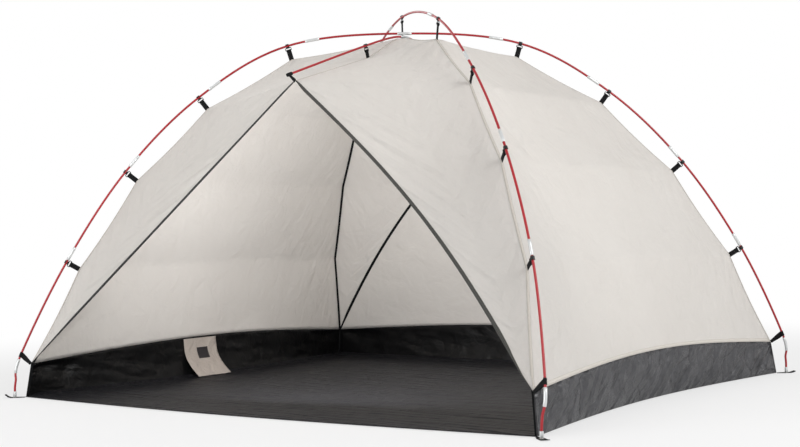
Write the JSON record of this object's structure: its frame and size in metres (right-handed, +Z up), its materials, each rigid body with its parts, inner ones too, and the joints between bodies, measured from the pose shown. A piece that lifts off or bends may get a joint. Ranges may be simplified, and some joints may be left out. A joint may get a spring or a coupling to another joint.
{
  "type": "beach tent",
  "caption": "Open-front beach tent: cloth canopy clipped under crossed arch poles and a short ridge pole, dark bathtub floor",
  "frame": {"origin": "middle of the groundsheet's underside, midway between the four pole feet", "axes": "+X along the open front to the user's right when facing the tent from outside, +Y from the open front to the rear wall, +Z up"},
  "size_m": [2.3648, 2.0682, 1.462],
  "materials": {
    "fibreglass_rod": "glossy red fibreglass with bare metal ferrules",
    "pole_tip_metal": "satin",
    "clip_plastic": "satin moulded",
    "canopy_cloth": "matt woven polyester, light sand grey",
    "grey_binding": "matt woven tape",
    "wall_cloth": "coated, slightly crinkled",
    "groundsheet_cloth": "woven sheet, slightly glossy",
    "flap_cloth": "matt woven polyester",
    "black_webbing": "matt ribbed webbing"
  },
  "bodies": {
    "tent": {"apex_cup_front": "black_webbing", "apex_cup_rear": "black_webbing", "arch_pole_lower": "fibreglass_rod", "arch_pole_upper": "fibreglass_rod", "bathtub_wall_left": "wall_cloth", "bathtub_wall_rear": "wall_cloth", "bathtub_wall_right": "wall_cloth", "canopy_rear_wall": "canopy_cloth", "canopy_roof_front_left": "canopy_cloth", "canopy_roof_front_right": "canopy_cloth", "canopy_roof_rear_left": "canopy_cloth", "canopy_roof_rear_right": "canopy_cloth", "canopy_side_left": "canopy_cloth", "canopy_side_right": "canopy_cloth", "corner_loop_front_left": "black_webbing", "corner_loop_front_right": "black_webbing", "corner_loop_rear_left": "black_webbing", "corner_loop_rear_right": "black_webbing", "corner_tab_front_left": "black_webbing", "corner_tab_front_right": "black_webbing", "corner_tab_rear_left": "black_webbing", "corner_tab_rear_right": "black_webbing", "crown_patch": "black_webbing", "door_binding_left": "grey_binding", "door_binding_right": "grey_binding", "groundsheet": "groundsheet_cloth", "pole_tip_front_left": "pole_tip_metal", "pole_tip_front_right": "pole_tip_metal", "pole_tip_rear_left": "pole_tip_metal", "pole_tip_rear_right": "pole_tip_metal", "rear_binding_left": "black_webbing", "rear_binding_right": "black_webbing", "ridge_pole": "fibreglass_rod", "ridge_tape_front": "black_webbing", "ridge_tape_rear": "black_webbing", "seam_tape_front_left": "black_webbing", "seam_tape_front_right": "black_webbing", "seam_tape_rear_left": "black_webbing", "seam_tape_rear_right": "black_webbing"},
    "clip_centre": {"clip_centre": "clip_plastic"},
    "clip_front_left_1": {"clip_front_left_1": "clip_plastic"},
    "clip_front_left_2": {"clip_front_left_2": "clip_plastic"},
    "clip_front_left_3": {"clip_front_left_3": "clip_plastic"},
    "clip_front_left_4": {"clip_front_left_4": "clip_plastic"},
    "clip_front_right_1": {"clip_front_right_1": "clip_plastic"},
    "clip_front_right_2": {"clip_front_right_2": "clip_plastic"},
    "clip_front_right_3": {"clip_front_right_3": "clip_plastic"},
    "clip_front_right_4": {"clip_front_right_4": "clip_plastic"},
    "clip_rear_left_1": {"clip_rear_left_1": "clip_plastic"},
    "clip_rear_left_2": {"clip_rear_left_2": "clip_plastic"},
    "clip_rear_left_3": {"clip_rear_left_3": "clip_plastic"},
    "clip_rear_left_4": {"clip_rear_left_4": "clip_plastic"},
    "clip_rear_right_1": {"clip_rear_right_1": "clip_plastic"},
    "clip_rear_right_2": {"clip_rear_right_2": "clip_plastic"},
    "clip_rear_right_3": {"clip_rear_right_3": "clip_plastic"},
    "clip_rear_right_4": {"clip_rear_right_4": "clip_plastic"},
    "clip_ridge_front": {"clip_ridge_front": "clip_plastic"},
    "clip_ridge_rear": {"clip_ridge_rear": "clip_plastic"},
    "storage_flap": {"storage_flap": "flap_cloth"}
  },
  "joints": [
    {"name": "clip_centre_swivel", "type": "hinge", "parent": "tent", "child": "clip_centre", "pos_m": [-0.02336, 0.01923, 1.45454], "axis": [0.7714, -0.6358, 0.0274], "range_deg": [-5, 5]},
    {"name": "clip_front_left_1_swivel", "type": "hinge", "parent": "tent", "child": "clip_front_left_1", "pos_m": [-1.03694, -0.83639, 0.51245], "axis": [0.3555, 0.3581, 0.8634], "range_deg": [-5, 5]},
    {"name": "clip_front_left_2_swivel", "type": "hinge", "parent": "tent", "child": "clip_front_left_2", "pos_m": [-0.86113, -0.68493, 0.8587], "axis": [0.4925, 0.4028, 0.7715], "range_deg": [-5, 5]},
    {"name": "clip_front_left_3_swivel", "type": "hinge", "parent": "tent", "child": "clip_front_left_3", "pos_m": [-0.63374, -0.50667, 1.14401], "axis": [0.6306, 0.4898, 0.6021], "range_deg": [-5, 5]},
    {"name": "clip_front_left_4_swivel", "type": "hinge", "parent": "tent", "child": "clip_front_left_4", "pos_m": [-0.35634, -0.29286, 1.34068], "axis": [0.7487, 0.5986, 0.2847], "range_deg": [-5, 5]},
    {"name": "clip_front_right_1_swivel", "type": "hinge", "parent": "tent", "child": "clip_front_right_1", "pos_m": [1.03694, -0.83639, 0.51251], "axis": [-0.3553, 0.3578, 0.8636], "range_deg": [-5, 5]},
    {"name": "clip_front_right_2_swivel", "type": "hinge", "parent": "tent", "child": "clip_front_right_2", "pos_m": [0.86113, -0.68493, 0.85926], "axis": [-0.4902, 0.4009, 0.7739], "range_deg": [-5, 5]},
    {"name": "clip_front_right_3_swivel", "type": "hinge", "parent": "tent", "child": "clip_front_right_3", "pos_m": [0.63374, -0.50667, 1.14906], "axis": [-0.6167, 0.479, 0.6247], "range_deg": [-5, 5]},
    {"name": "clip_front_right_4_swivel", "type": "hinge", "parent": "tent", "child": "clip_front_right_4", "pos_m": [0.35634, -0.29286, 1.37059], "axis": [-0.7308, 0.5843, 0.3528], "range_deg": [-5, 5]},
    {"name": "clip_rear_left_1_swivel", "type": "hinge", "parent": "tent", "child": "clip_rear_left_1", "pos_m": [-1.03694, 0.83639, 0.51251], "axis": [0.3553, -0.3578, 0.8636], "range_deg": [-5, 5]},
    {"name": "clip_rear_left_2_swivel", "type": "hinge", "parent": "tent", "child": "clip_rear_left_2", "pos_m": [-0.86113, 0.68493, 0.85926], "axis": [0.4902, -0.4009, 0.7739], "range_deg": [-5, 5]},
    {"name": "clip_rear_left_3_swivel", "type": "hinge", "parent": "tent", "child": "clip_rear_left_3", "pos_m": [-0.63374, 0.50667, 1.14906], "axis": [0.6167, -0.479, 0.6247], "range_deg": [-5, 5]},
    {"name": "clip_rear_left_4_swivel", "type": "hinge", "parent": "tent", "child": "clip_rear_left_4", "pos_m": [-0.35634, 0.29286, 1.37059], "axis": [0.7308, -0.5843, 0.3528], "range_deg": [-5, 5]},
    {"name": "clip_rear_right_1_swivel", "type": "hinge", "parent": "tent", "child": "clip_rear_right_1", "pos_m": [1.03694, 0.83639, 0.51245], "axis": [-0.3555, -0.3581, 0.8634], "range_deg": [-5, 5]},
    {"name": "clip_rear_right_2_swivel", "type": "hinge", "parent": "tent", "child": "clip_rear_right_2", "pos_m": [0.86113, 0.68493, 0.8587], "axis": [-0.4925, -0.4028, 0.7715], "range_deg": [-5, 5]},
    {"name": "clip_rear_right_3_swivel", "type": "hinge", "parent": "tent", "child": "clip_rear_right_3", "pos_m": [0.63374, 0.50667, 1.14401], "axis": [-0.6306, -0.4898, 0.6021], "range_deg": [-5, 5]},
    {"name": "clip_rear_right_4_swivel", "type": "hinge", "parent": "tent", "child": "clip_rear_right_4", "pos_m": [0.35634, 0.29286, 1.34068], "axis": [-0.7487, -0.5986, 0.2847], "range_deg": [-5, 5]},
    {"name": "clip_ridge_front_swivel", "type": "hinge", "parent": "tent", "child": "clip_ridge_front", "pos_m": [0, -0.258, 1.31097], "axis": [0, 0.9549, 0.2968], "range_deg": [-5, 5]},
    {"name": "clip_ridge_rear_swivel", "type": "hinge", "parent": "tent", "child": "clip_ridge_rear", "pos_m": [0, 0.258, 1.31097], "axis": [0, 0.9549, -0.2968], "range_deg": [-5, 5]},
    {"name": "flap_lift", "type": "hinge", "parent": "tent", "child": "storage_flap", "pos_m": [-1.05357, -0.08739, 0.16648], "axis": [-0.0054, -0.9999, -0.0101], "range_deg": [0, 100]}
  ]
}
